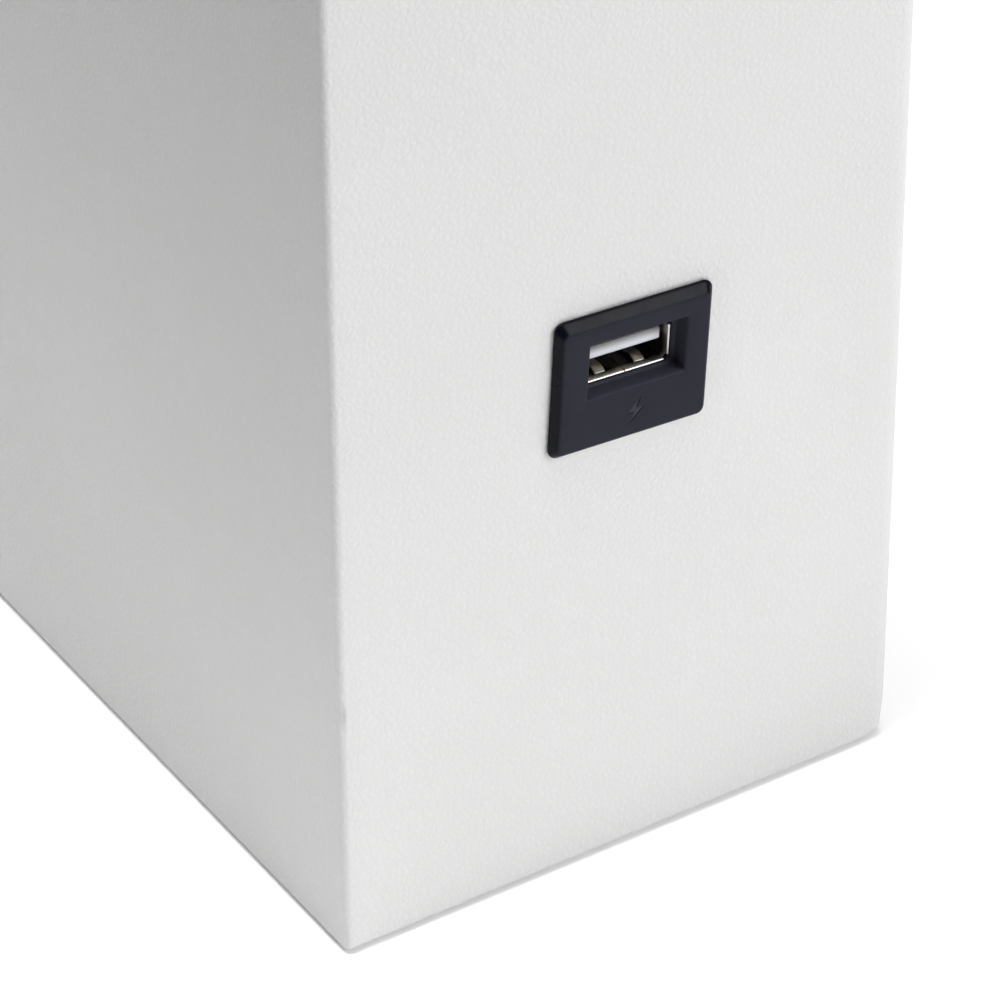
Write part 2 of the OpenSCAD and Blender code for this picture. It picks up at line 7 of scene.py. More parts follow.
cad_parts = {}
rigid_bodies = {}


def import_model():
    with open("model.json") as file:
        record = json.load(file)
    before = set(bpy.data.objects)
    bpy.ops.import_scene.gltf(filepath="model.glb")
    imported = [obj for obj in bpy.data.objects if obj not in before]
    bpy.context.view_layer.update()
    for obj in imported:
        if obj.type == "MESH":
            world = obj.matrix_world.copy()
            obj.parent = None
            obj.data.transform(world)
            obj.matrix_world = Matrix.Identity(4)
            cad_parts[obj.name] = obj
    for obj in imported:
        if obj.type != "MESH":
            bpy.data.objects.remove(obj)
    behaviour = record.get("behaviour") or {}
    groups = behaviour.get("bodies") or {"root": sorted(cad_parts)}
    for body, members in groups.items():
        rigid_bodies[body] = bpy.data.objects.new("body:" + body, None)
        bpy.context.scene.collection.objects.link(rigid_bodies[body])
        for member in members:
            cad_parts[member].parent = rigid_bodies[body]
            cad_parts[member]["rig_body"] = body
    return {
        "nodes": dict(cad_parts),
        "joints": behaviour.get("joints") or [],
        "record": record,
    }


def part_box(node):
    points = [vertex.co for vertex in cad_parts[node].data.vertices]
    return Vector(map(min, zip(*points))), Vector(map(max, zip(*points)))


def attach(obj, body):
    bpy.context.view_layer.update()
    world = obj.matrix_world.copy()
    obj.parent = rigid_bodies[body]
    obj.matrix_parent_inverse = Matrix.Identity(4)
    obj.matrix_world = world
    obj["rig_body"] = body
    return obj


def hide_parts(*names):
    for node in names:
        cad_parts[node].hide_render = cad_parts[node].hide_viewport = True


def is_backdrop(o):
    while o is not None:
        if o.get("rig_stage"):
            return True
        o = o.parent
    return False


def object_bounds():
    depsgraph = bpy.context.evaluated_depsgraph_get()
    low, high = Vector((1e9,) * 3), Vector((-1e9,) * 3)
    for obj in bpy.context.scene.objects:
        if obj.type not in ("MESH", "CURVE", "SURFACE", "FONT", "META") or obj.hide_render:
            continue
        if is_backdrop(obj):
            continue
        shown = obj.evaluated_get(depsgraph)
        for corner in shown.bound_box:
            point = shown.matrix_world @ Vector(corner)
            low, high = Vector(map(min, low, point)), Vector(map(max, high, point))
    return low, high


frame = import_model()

cad_lo, cad_hi = (Vector(v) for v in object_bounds())
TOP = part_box("top_inlay")[1].z
MM = 0.001
N = frame["nodes"]


# ------------------------------------------------------------------ places
wrap_lo, wrap_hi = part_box("leatherette_cover")
W2, D2 = (wrap_hi.x - wrap_lo.x) / 2, (wrap_hi.y - wrap_lo.y) / 2
flex = {j["name"]: j for j in frame["joints"]}
ax = flex["finger_lower_left_flex"]["axis"]
SKEW = math.atan2(-ax[2], ax[0])
MOUTH = 1.16
plug = next(m for m in frame["record"]["mounts"] if m["name"] == "usb_socket")
TURN = Matrix.Rotation(SKEW, 4, "Y")
SOCK = Matrix.Translation(Vector(plug["pos_m"]) - TURN @ (Vector((0, MOUTH, 1.6)) * MM)) @ TURN
in_lo, in_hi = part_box("inlet_body")
INLET = Matrix.Translation(((in_lo.x + in_hi.x) / 2, wrap_hi.y, (in_lo.z + in_hi.z) / 2)) @ Matrix.Rotation(math.pi, 4, "Z")


# ------------------------------------------------------------------ camera
def camera():
    yaw, pitch, roll, f = math.radians(32.61), math.radians(35.14), math.radians(0.38), 5383.9
    at = wrap_lo + Vector((-0.2703, -0.45989, 0.44647))
    fwd = Vector((math.sin(yaw) * math.cos(pitch), math.cos(yaw) * math.cos(pitch), -math.sin(pitch)))
    right = Vector((math.cos(yaw), -math.sin(yaw), 0))
    down = fwd.cross(right)
    if down.z > 0:
        down = -down
    r2 = math.cos(roll) * right + math.sin(roll) * down
    d2 = -math.sin(roll) * right + math.cos(roll) * down
    m = Matrix((r2, -d2, -fwd)).transposed().to_4x4()
    m.translation = at
    cam = bpy.data.objects.new("camera", bpy.data.cameras.new("camera"))
    bpy.context.scene.collection.objects.link(cam)
    cam.matrix_world = m
    cam.data.sensor_width = 36.0
    cam.data.lens = f / 1000 * 36.0
    cam.data.clip_start, cam.data.clip_end = 0.01, 50
    cam.data.dof.use_dof = False
    bpy.context.scene.camera = cam


camera()


# ------------------------------------------------------------------ materials
class Mat:
    def __init__(self, name):
        self.m = bpy.data.materials.new(name)
        self.m.use_nodes = True
        self.t = self.m.node_tree
        self.t.nodes.clear()
        self.out = self.add("ShaderNodeOutputMaterial")
        self.b = self.add("ShaderNodeBsdfPrincipled")
        self.link(self.b.outputs[0], self.out.inputs[0])
        self.co = self.add("ShaderNodeTexCoord").outputs["Object"]

    def add(self, kind, **kw):
        n = self.t.nodes.new(kind)
        for k, v in kw.items():
            setattr(n, k, v)
        return n

    def link(self, a, b):
        self.t.links.new(a, b)

    def set(self, **kw):
        for k, v in kw.items():
            self.b.inputs[k.replace("_", " ")].default_value = v

    def put(self, node, name, v):
        s = node.inputs[name]
        if hasattr(v, "links") or isinstance(v, bpy.types.NodeSocket):
            self.link(v, s)
        else:
            s.default_value = v

    def math(self, op, a, b=0.0, c=None, clamp=False):
        n = self.add("ShaderNodeMath", operation=op, use_clamp=clamp)
        self.put(n, 0, a)
        self.put(n, 1, b)
        if c is not None:
            self.put(n, 2, c)
        return n.outputs[0]

    def noise(self, scale, detail=3.0, rough=0.5, vec=None, distortion=0.0):
        n = self.add("ShaderNodeTexNoise")
        self.link(vec or self.co, n.inputs["Vector"])
        n.inputs["Scale"].default_value = scale
        n.inputs["Detail"].default_value = detail
        n.inputs["Roughness"].default_value = rough
        n.inputs["Distortion"].default_value = distortion
        return n

    def voronoi(self, scale, feature="F1", vec=None, rand=1.0, smooth=None):
        n = self.add("ShaderNodeTexVoronoi", feature=feature)
        self.link(vec or self.co, n.inputs["Vector"])
        n.inputs["Scale"].default_value = scale
        n.inputs["Randomness"].default_value = rand
        if smooth is not None:
            n.inputs["Smoothness"].default_value = smooth
        return n

    def stretch(self, sx, sy, sz, rot=(0, 0, 0)):
        n = self.add("ShaderNodeMapping")
        self.link(self.co, n.inputs["Vector"])
        n.inputs["Scale"].default_value = (sx, sy, sz)
        n.inputs["Rotation"].default_value = rot
        return n.outputs[0]

    def warp(self, scale, amount):
        """The object's coordinates pushed about by a noise, amount in metres."""
        n = self.noise(scale, 2.0)
        c = self.add("ShaderNodeVectorMath", operation="SUBTRACT")
        self.link(n.outputs["Color"], c.inputs[0])
        c.inputs[1].default_value = (0.5, 0.5, 0.5)
        s = self.add("ShaderNodeVectorMath", operation="SCALE")
        self.link(c.outputs[0], s.inputs[0])
        s.inputs["Scale"].default_value = amount
        a = self.add("ShaderNodeVectorMath", operation="ADD")
        self.link(self.co, a.inputs[0])
        self.link(s.outputs[0], a.inputs[1])
        return a.outputs[0]

    def ramp(self, fac, stops):
        n = self.add("ShaderNodeValToRGB")
        self.link(fac, n.inputs[0])
        e = n.color_ramp.elements
        while len(e) < len(stops):
            e.new(0.5)
        for i, (p, c) in enumerate(stops):
            e[i].position = p
            e[i].color = tuple(c) + ((1.0,) if len(c) == 3 else ())
        return n.outputs[0]

    def remap(self, v, a, b, c, d):
        n = self.add("ShaderNodeMapRange")
        self.link(v, n.inputs[0])
        for i, x in enumerate((a, b, c, d)):
            n.inputs[i + 1].default_value = x
        return n.outputs[0]

    def mix(self, fac, a, b, blend="MIX"):
        n = self.add("ShaderNodeMix", data_type="RGBA", blend_type=blend)
        self.put(n, 0, fac)
        for i, v in ((6, a), (7, b)):
            if isinstance(v, bpy.types.NodeSocket):
                self.link(v, n.inputs[i])
            else:
                n.inputs[i].default_value = tuple(v) + ((1.0,) if len(v) == 3 else ())
        return n.outputs[2]

    def bump(self, height, dist, strength=1.0, under=None):
        n = self.add("ShaderNodeBump")
        self.link(height, n.inputs["Height"])
        n.inputs["Distance"].default_value = dist
        n.inputs["Strength"].default_value = strength
        if under is not None:
            self.link(under, n.inputs["Normal"])
        return n.outputs[0]

    def colour(self, s):
        self.link(s, self.b.inputs["Base Color"])

    def rough(self, s):
        self.link(s, self.b.inputs["Roughness"])

    def normal(self, s):
        self.link(s, self.b.inputs["Normal"])


def leather():
    """White leatherette: soft pebbles about 0.8 mm across with shallow creases between them."""
    m = Mat("white_leatherette")
    w = m.warp(520.0, 0.0009)
    edge = m.voronoi(980.0, "DISTANCE_TO_EDGE", w).outputs["Distance"]
    dome = m.add("ShaderNodeMapRange", interpolation_type="SMOOTHSTEP")
    m.link(edge, dome.inputs[0])
    for i, v in enumerate((0.0, 0.42, 0.0, 1.0)):
        dome.inputs[i + 1].default_value = v
    wave = m.noise(330.0, 2.0, 0.55).outputs[0]
    h = m.math("MULTIPLY_ADD", wave, 1.1, dome.outputs[0])
    m.normal(m.bump(h, 0.000085, 0.55))
    tone = m.noise(24.0, 3.0).outputs[0]
    base = m.mix(m.remap(tone, 0.3, 0.7, 0.0, 1.0), (0.758, 0.757, 0.754), (0.780, 0.779, 0.777))
    # painted shade: the colour is darkened in the creases between the pebbles
    m.colour(m.mix(m.remap(edge, 0.0, 0.10, 0.12, 0.0), base, (0.62, 0.615, 0.61)))
    m.rough(m.remap(wave, 0.3, 0.7, 0.48, 0.60))
    m.set(Specular_IOR_Level=0.42)
    return m.m


def plastic(name, a, b, rough=(0.3, 0.42), grain=2600.0, depth=0.000012, strength=0.35, scratch=0.0, spec=0.5):
    m = Mat(name)
    big = m.noise(160.0, 3.0).outputs[0]
    g = m.noise(grain, 3.0, 0.6).outputs[0]
    m.colour(m.mix(m.remap(big, 0.3, 0.7, 0.0, 1.0), a, b))
    r = m.remap(m.noise(520.0, 4.0, 0.6).outputs[0], 0.3, 0.7, rough[0], rough[1])
    n = m.bump(g, depth, strength)
    if scratch:
        s = m.noise(1.0, 2.0, 0.7, vec=m.stretch(260, 3000, 5200, (0.3, 0.2, 0.5))).outputs[0]
        s2 = m.remap(s, 0.62, 0.72, 0.0, 1.0)
        r = m.math("ADD", r, m.math("MULTIPLY", s2, scratch), clamp=True)
        n = m.bump(s2, 0.000006, 0.4, n)
    m.rough(r)
    m.normal(n)
    m.set(Specular_IOR_Level=spec)
    return m.m


def bezel_plastic():
    """Black plastic: a fine matt texture on the face, a polished sloping rim, and painted light in the recess, whose
    walls get a lighter colour where the lamps leave them in shade.
    """
    m = Mat("bezel_plastic")
    sub = m.add("ShaderNodeVectorMath", operation="SUBTRACT")
    m.link(m.co, sub.inputs[0])
    sub.inputs[1].default_value = SOCK.translation
    ax = m.add("ShaderNodeVectorMath", operation="ABSOLUTE")
    m.link(sub.outputs[0], ax.inputs[0])
    a = m.add("ShaderNodeSeparateXYZ")
    m.link(ax.outputs[0], a.inputs[0])
    q = m.add("ShaderNodeSeparateXYZ")
    m.link(sub.outputs[0], q.inputs[0])
    out = m.math("MAXIMUM", a.outputs[0], m.math("MULTIPLY", a.outputs[2], 1.19))
    rim = m.math("MULTIPLY", m.remap(out, 0.0090, 0.0094, 0.0, 1.0), m.remap(q.outputs[1], -0.00136, -0.00122, 0.0, 1.0))
    near = m.math("MAXIMUM", m.math("MULTIPLY", a.outputs[0], 0.86), a.outputs[2])
    # painted light: a mask over the recess walls behind the front face, which are given a lighter colour to stand for
    # light falling into the recess
    recess_painted_light = m.math("MULTIPLY", m.remap(near, 0.0074, 0.0071, 0.0, 1.0), m.remap(q.outputs[1], -0.00137, -0.00128, 0.0, 1.0))
    big = m.noise(160.0, 3.0).outputs[0]
    fine = m.noise(3800.0, 3.0, 0.6).outputs[0]
    face = m.mix(m.remap(big, 0.3, 0.7, 0.0, 1.0), (0.0148, 0.0148, 0.0262), (0.0178, 0.0178, 0.0302))
    c = m.mix(m.math("MULTIPLY", rim, m.math("SUBTRACT", 1.0, recess_painted_light)), face, (0.0040, 0.0045, 0.0085))
    m.colour(m.mix(recess_painted_light, c, (0.043, 0.043, 0.063)))
    rough = m.remap(m.noise(520.0, 4.0, 0.6).outputs[0], 0.3, 0.7, 0.36, 0.46)
    m.rough(m.math("MULTIPLY_ADD", rim, -0.12, rough))
    m.normal(m.bump(fine, 0.000008, 0.3))
    m.set(Specular_IOR_Level=0.11)
    return m.m


def tongue_plastic():
    """White plastic, with painted shade: darker towards the top, where it goes up under the shell's roof."""
    m = Mat("tongue_plastic")
    at = m.add("ShaderNodeVectorMath", operation="SUBTRACT")
    m.link(m.co, at.inputs[0])
    at.inputs[1].default_value = SOCK.translation
    up = m.add("ShaderNodeVectorMath", operation="DOT_PRODUCT")
    m.link(at.outputs[0], up.inputs[0])
    up.inputs[1].default_value = (math.sin(SKEW), 0.0, math.cos(SKEW))
    # painted shade: the colour darkens towards the top of the tongue, standing for the shadow under the shell's roof
    k = m.remap(up.outputs["Value"], 0.0024, 0.0033, 0.0, 0.86)
    big = m.noise(160.0, 3.0).outputs[0]
    white = m.mix(m.remap(big, 0.3, 0.7, 0.0, 1.0), (0.78, 0.79, 0.86), (0.82, 0.83, 0.89))
    m.colour(m.mix(k, white, (0.16, 0.155, 0.155)))
    m.rough(m.remap(m.noise(520.0, 4.0, 0.6).outputs[0], 0.3, 0.7, 0.28, 0.40))
    m.normal(m.bump(m.noise(2600.0, 3.0, 0.6).outputs[0], 0.000006, 0.3))
    m.set(Specular_IOR_Level=0.5)
    return m.m


def metal(name, a, b, rough=(0.18, 0.34), lines=(400, 9000, 400), depth=0.000006, rot=(0, 0, 0)):
    m = Mat(name)
    l = m.noise(1.0, 3.0, 0.6, vec=m.stretch(*lines, rot)).outputs[0]
    k = m.noise(900.0, 4.0, 0.65).outputs[0]
    m.colour(m.mix(m.remap(k, 0.3, 0.7, 0.0, 1.0), a, b))
    m.rough(m.remap(m.math("ADD", m.math("MULTIPLY", l, 0.6), m.math("MULTIPLY", k, 0.4)), 0.3, 0.7, *rough))
    m.normal(m.bump(l, depth, 0.5))
    m.set(Metallic=1.0)
    return m.m


def shell_metal():
    """Nickel plate, bright at the mouth, with painted shade darkening it a little way in."""
    m = Mat("shell_nickel_painted_shade_inside")
    y0 = SOCK.translation.y + MOUTH * MM
    sep = m.add("ShaderNodeSeparateXYZ")
    m.link(m.co, sep.inputs[0])
    # painted shade: the plate's colour darkens a little way in from the mouth, standing for the shade inside the shell
    painted_shade_depth = m.remap(sep.outputs[1], y0 + 0.00055, y0 + 0.0012, 0.0, 1.0)
    k = m.noise(900.0, 4.0, 0.65).outputs[0]
    l = m.noise(1.0, 3.0, 0.6, vec=m.stretch(500, 6000, 500)).outputs[0]
    bright = m.mix(m.remap(k, 0.3, 0.7, 0.0, 1.0), (0.60, 0.575, 0.54), (0.70, 0.68, 0.65))
    m.colour(m.mix(painted_shade_depth, bright, (0.13, 0.12, 0.11)))
    m.rough(m.remap(l, 0.3, 0.7, 0.28, 0.40))
    m.normal(m.bump(l, 0.000003, 0.15))
    m.set(Metallic=1.0)
    return m.m


def felt():
    m = Mat("pale_felt")
    f = m.noise(1.0, 5.0, 0.75, vec=m.stretch(2600, 900, 2600, (0, 0, 0.6)), distortion=1.4).outputs[0]
    g = m.noise(1.0, 5.0, 0.75, vec=m.stretch(800, 2900, 2900, (0, 0, -0.4)), distortion=1.6).outputs[0]
    k = m.math("MAXIMUM", f, g)
    m.colour(m.ramp(k, [(0.36, (0.25, 0.255, 0.275)), (0.55, (0.38, 0.385, 0.41)), (0.78, (0.55, 0.555, 0.575))]))
    m.normal(m.bump(k, 0.00035, 0.9))
    m.set(Roughness=0.97, Specular_IOR_Level=0.15, Sheen_Weight=0.25, Sheen_Roughness=0.6)
    return m.m


def fibreboard():
    m = Mat("fibreboard")
    f = m.noise(1.0, 6.0, 0.7, vec=m.stretch(1400, 1400, 500), distortion=0.8).outputs[0]
    s = m.voronoi(1500.0).outputs["Distance"]
    c = m.ramp(f, [(0.3, (0.30, 0.19, 0.10)), (0.5, (0.47, 0.32, 0.18)), (0.72, (0.60, 0.44, 0.27))])
    m.colour(m.mix(m.remap(s, 0.0, 0.2, 0.5, 0.0), c, (0.22, 0.13, 0.07)))
    m.normal(m.bump(f, 0.00012, 0.6))
    m.set(Roughness=0.82, Specular_IOR_Level=0.2)
    return m.m


def pine():
    m = Mat("pine")
    w = m.add("ShaderNodeTexWave", wave_type="RINGS", rings_direction="Z")
    m.link(m.warp(14.0, 0.012), w.inputs["Vector"])
    w.inputs["Scale"].default_value = 70.0
    w.inputs["Distortion"].default_value = 3.0
    w.inputs["Detail"].default_value = 3.0
    fibre = m.noise(1.0, 4.0, 0.6, vec=m.stretch(1800, 1800, 60)).outputs[0]
    c = m.ramp(w.outputs["Fac"], [(0.15, (0.48, 0.30, 0.14)), (0.5, (0.68, 0.49, 0.27)), (0.9, (0.76, 0.59, 0.36))])
    m.colour(m.mix(m.remap(fibre, 0.3, 0.7, 0.0, 0.35), c, (0.42, 0.27, 0.13)))
    m.normal(m.bump(fibre, 0.0001, 0.5))
    m.set(Roughness=0.62)
    return m.m


def foam():
    m = Mat("foam")
    v = m.voronoi(1900.0, "F1").outputs["Distance"]
    m.colour(m.ramp(v, [(0.0, (0.50, 0.45, 0.28)), (0.35, (0.80, 0.76, 0.58)), (0.8, (0.88, 0.85, 0.70))]))
    m.normal(m.bump(v, 0.0003, 0.8))
    m.set(Roughness=0.95, Specular_IOR_Level=0.15)
    return m.m


def board(name="circuit_board", dim=1.0):
    """Solder mask over traces and a glass weave; dim darkens the mask."""
    m = Mat(name)
    v = m.add("ShaderNodeTexVoronoi", feature="F1", distance="CHEBYCHEV")
    m.link(m.stretch(420, 420, 420), v.inputs["Vector"])
    v.inputs["Scale"].default_value = 1.0
    v.inputs["Randomness"].default_value = 0.6
    e = m.math("PINGPONG", v.outputs["Distance"], 0.11)
    line = m.remap(e, 0.045, 0.055, 0.0, 1.0)
    weave = m.noise(1.0, 2.0, vec=m.stretch(2400, 2400, 600)).outputs[0]
    green = m.mix(m.remap(weave, 0.3, 0.7, 0.0, 1.0), (0.012 * dim, 0.12 * dim, 0.045 * dim), (0.018 * dim, 0.16 * dim, 0.06 * dim))
    m.colour(m.mix(line, green, (0.03 * dim, 0.24 * dim, 0.09 * dim)))
    m.normal(m.bump(line, 0.00004, 0.6))
    m.rough(m.remap(weave, 0.3, 0.7, 0.25, 0.4))
    return m.m


def glassy(name, col, alpha):
    m = Mat(name)
    k = m.noise(500.0, 3.0).outputs[0]
    m.colour(m.mix(m.remap(k, 0.3, 0.7, 0.0, 1.0), col, tuple(x * 0.92 for x in col)))
    m.rough(m.remap(k, 0.3, 0.7, 0.04, 0.12))
    m.set(Alpha=alpha)
    return m.m


M = {
    "leatherette": leather(),
    "foam": foam(),
    "fibreboard": fibreboard(),
    "pine": pine(),
    "zinc_screw": metal("zinc_plate", (0.62, 0.60, 0.50), (0.74, 0.73, 0.68), (0.25, 0.45), (900, 900, 900)),
    "staple_wire": metal("galvanised_wire", (0.55, 0.56, 0.58), (0.70, 0.71, 0.72), (0.3, 0.5)),
    "felt": felt(),
    "ballast_steel": metal("black_oxide_steel", (0.10, 0.105, 0.115), (0.17, 0.175, 0.185), (0.42, 0.62), (80, 1400, 80)),
    "bezel_plastic": bezel_plastic(),
    "shell_nickel": metal("shell_nickel", (0.50, 0.46, 0.43), (0.62, 0.58, 0.54), (0.34, 0.46), (500, 6000, 500), 0.000004),
    "tongue_plastic": tongue_plastic(),
    "contact_gold": metal("contact_gold", (0.80, 0.58, 0.24), (0.90, 0.70, 0.36), (0.18, 0.32), (500, 6000, 500), 0.000003),
    "board_green": board(),
    "chip_black": plastic("chip_epoxy", (0.025, 0.025, 0.028), (0.04, 0.04, 0.043), (0.5, 0.65), 5200.0, 0.00001, 0.5),
    "header_white": plastic("natural_nylon", (0.74, 0.71, 0.60), (0.80, 0.78, 0.68), (0.35, 0.5)),
    "case_black": plastic("case_polycarbonate", (0.03, 0.03, 0.034), (0.045, 0.045, 0.05), (0.45, 0.6), 1500.0, 0.00003, 0.5),
    "inlet_black": plastic("inlet_plastic", (0.022, 0.022, 0.026), (0.030, 0.030, 0.034), (0.34, 0.46), 2400.0, 0.000014, 0.4, 0.08),
    "pin_nickel": metal("pin_nickel", (0.68, 0.66, 0.61), (0.80, 0.79, 0.75), (0.14, 0.28), (6000, 300, 6000), 0.000004),
    "boot_red": plastic("soft_red_vinyl", (0.42, 0.035, 0.03), (0.52, 0.05, 0.045), (0.4, 0.55)),
    "lead_brown": plastic("brown_vinyl", (0.13, 0.055, 0.025), (0.18, 0.08, 0.035), (0.35, 0.5)),
    "lead_blue": plastic("blue_vinyl", (0.02, 0.07, 0.32), (0.03, 0.10, 0.40), (0.35, 0.5)),
    "lead_red": plastic("red_vinyl", (0.42, 0.02, 0.02), (0.52, 0.03, 0.03), (0.35, 0.5)),
    "lead_black": plastic("black_vinyl", (0.02, 0.02, 0.02), (0.035, 0.035, 0.035), (0.35, 0.5)),
    "clip_white": plastic("clip_nylon", (0.72, 0.72, 0.69), (0.80, 0.80, 0.77), (0.4, 0.55)),
    "fuse_glass": glassy("fuse_glass", (0.80, 0.85, 0.88), 0.55),
    "capacitor_sleeve": plastic("capacitor_sleeve", (0.02, 0.03, 0.10), (0.03, 0.045, 0.14), (0.16, 0.26)),
    "ferrite": plastic("ferrite", (0.05, 0.049, 0.047), (0.085, 0.083, 0.08), (0.5, 0.7), 1800.0, 0.00003, 0.6),
    "tape_yellow": plastic("polyester_tape", (0.72, 0.50, 0.06), (0.80, 0.60, 0.10), (0.18, 0.3), 300.0, 0.00002, 0.3),
    "terminal_green": plastic("terminal_nylon", (0.02, 0.20, 0.07), (0.03, 0.26, 0.09), (0.4, 0.5)),
}
for s in frame["record"]["subparts"]:
    o = N[s["node"]]
    o.data.materials.clear()
    o.data.materials.append(M[s["material_slot"]])
N["socket_board"].data.materials[0] = board("socket_board_mask", 0.12)


# ------------------------------------------------------------------ mesh helpers
def finish_mesh(name, bm, mat, body, nodes, sharp=35.0, doubles=0.0):
    if doubles:
        bmesh.ops.remove_doubles(bm, verts=bm.verts, dist=doubles)
    bmesh.ops.recalc_face_normals(bm, faces=bm.faces)
    me = bpy.data.meshes.new(name)
    for f in bm.faces:
        f.smooth = True
    lim = math.radians(sharp)
    for e in bm.edges:
        e.smooth = not (len(e.link_faces) == 2 and e.calc_face_angle(0.0) > lim)
    bm.to_mesh(me)
    bm.free()
    o = bpy.data.objects.new(name, me)
    bpy.context.scene.collection.objects.link(o)
    me.materials.append(mat)
    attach(o, body)
    if nodes:
        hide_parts(*nodes)
    return o


def rr(w, h, r, cx=0.0, cz=0.0, y=0.0, nc=6, ns=10):
    """A rounded rectangle in x and z at depth y, anticlockwise seen from the front, in millimetres."""
    pts = []
    a, b = w / 2 - r, h / 2 - r
    corners = ((a, b, 0), (-a, b, 90), (-a, -b, 180), (a, -b, 270))
    for i, (x, z, t0) in enumerate(corners):
        arc = [(x + r * math.cos(math.radians(t0 + 90 * k / nc)), z + r * math.sin(math.radians(t0 + 90 * k / nc))) for k in range(nc + 1)]
        pts += arc
        nx, nz, nt = corners[(i + 1) % 4]
        q = (nx + r * math.cos(math.radians(nt)), nz + r * math.sin(math.radians(nt)))
        p = arc[-1]
        pts += [(p[0] + (q[0] - p[0]) * k / ns, p[1] + (q[1] - p[1]) * k / ns) for k in range(1, ns)]
    return [Vector((cx + x, y, cz + z)) * MM for x, z in pts]


def loft(bm, rings, closed=True, m=None):
    vs = [[bm.verts.new(m @ p if m else p) for p in ring] for ring in rings]
    n = len(vs[0])
    for i in range(len(vs) - (0 if closed else 1)):
        a, b = vs[i], vs[(i + 1) % len(vs)]
        for j in range(n):
            bm.faces.new((a[j], a[(j + 1) % n], b[(j + 1) % n], b[j]))
    return vs


def add_box(bm, lo, hi, m=None):
    v = [bm.verts.new((m @ (Vector(p) * MM)) if m else Vector(p) * MM) for p in (
        (lo[0], lo[1], lo[2]), (hi[0], lo[1], lo[2]), (hi[0], hi[1], lo[2]), (lo[0], hi[1], lo[2]),
        (lo[0], lo[1], hi[2]), (hi[0], lo[1], hi[2]), (hi[0], hi[1], hi[2]), (lo[0], hi[1], hi[2]))]
    for f in ((0, 3, 2, 1), (4, 5, 6, 7), (0, 1, 5, 4), (1, 2, 6, 5), (2, 3, 7, 6), (3, 0, 4, 7)):
        bm.faces.new([v[i] for i in f])


def prism(bm, outline, lo, hi, m, axis="x"):
    """A closed outline swept from lo to hi, in millimetres: (y, z) along x, or (x, z) along y."""
    if axis == "x":
        rings = [[Vector((t, a, b)) * MM for a, b in outline] for t in (lo, hi)]
    else:
        rings = [[Vector((a, t, b)) * MM for a, b in outline] for t in (lo, hi)]
    vs = loft(bm, rings, closed=False, m=m)
    bm.faces.new(vs[0])
    bm.faces.new(list(reversed(vs[1])))


def cut(o, cutter_bm):
    """Takes the cutter away from o, exactly, and keeps the result as its mesh."""
    bmesh.ops.recalc_face_normals(cutter_bm, faces=cutter_bm.faces)
    me = bpy.data.meshes.new("cutter")
    cutter_bm.to_mesh(me)
    cutter_bm.free()
    c = bpy.data.objects.new("cutter", me)
    bpy.context.scene.collection.objects.link(c)
    mod = o.modifiers.new("cut", "BOOLEAN")
    mod.operation, mod.solver, mod.object = "DIFFERENCE", "EXACT", c
    mod.use_self = True
    bake(o)
    bpy.data.objects.remove(c)
    bpy.data.meshes.remove(me)


def bake(o):
    """Applies o's modifiers."""
    dg = bpy.context.evaluated_depsgraph_get()
    dg.update()
    me = bpy.data.meshes.new_from_object(o.evaluated_get(dg), preserve_all_data_layers=True, depsgraph=dg)
    old = o.data
    o.modifiers.clear()
    o.data = me
    bpy.data.meshes.remove(old)


def resharp(o, sharp=35.0):
    """Joins doubled points, closes what that leaves open, and marks smooth and sharp edges."""
    bm = bmesh.new()
    bm.from_mesh(o.data)
    bmesh.ops.remove_doubles(bm, verts=bm.verts, dist=1.5e-6)
    bmesh.ops.dissolve_degenerate(bm, edges=bm.edges, dist=1.0e-6)
    loose = [e for e in bm.edges if not e.link_faces]
    bmesh.ops.delete(bm, geom=loose, context="EDGES")
    gaps = [e for e in bm.edges if len(e.link_faces) == 1]
    if gaps:
        bmesh.ops.holes_fill(bm, edges=gaps, sides=0)
    lim = math.radians(sharp)
    for f in bm.faces:
        f.smooth = True
    for e in bm.edges:
        e.smooth = not (len(e.link_faces) == 2 and e.calc_face_angle(0.0) > lim)
    bm.to_mesh(o.data)
    bm.free()


def bevel(o, width, segments=2, angle=30.0):
    mod = o.modifiers.new("bevel", "BEVEL")
    mod.width, mod.segments, mod.limit_method, mod.angle_limit = width, segments, "ANGLE", math.radians(angle)
    mod.use_clamp_overlap = True
    mod.harden_normals = False
    bake(o)
    resharp(o, 40.0)


def eased(node, name, width, segments=2, angle=30.0):
    """A CAD node made again with its edges eased by width metres."""
    src = N[node]
    bm = bmesh.new()
    bm.from_mesh(src.data)
    bmesh.ops.remove_doubles(bm, verts=bm.verts, dist=1e-7)
    bmesh.ops.dissolve_limit(bm, angle_limit=math.radians(0.6), verts=bm.verts, edges=bm.edges)
    o = finish_mesh(name, bm, src.data.materials[0], src["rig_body"], [node])
    bevel(o, width, segments, angle)
    return o


def smooth_line(p, n=6):
    """A smooth closed or open run through p, with n steps between neighbours."""
    out = []
    for i in range(len(p) - 1):
        a, b, c, d = p[max(i - 1, 0)], p[i], p[i + 1], p[min(i + 2, len(p) - 1)]
        for k in range(n):
            t = k / n
            out.append(tuple(0.5 * (2 * b[j] + t * (c[j] - a[j]) + t * t * (2 * a[j] - 5 * b[j] + 4 * c[j] - d[j])
                + t ** 3 * (3 * b[j] - 3 * c[j] + d[j] - a[j])) for j in (0, 1)))
    out.append(tuple(p[-1]))
    return out


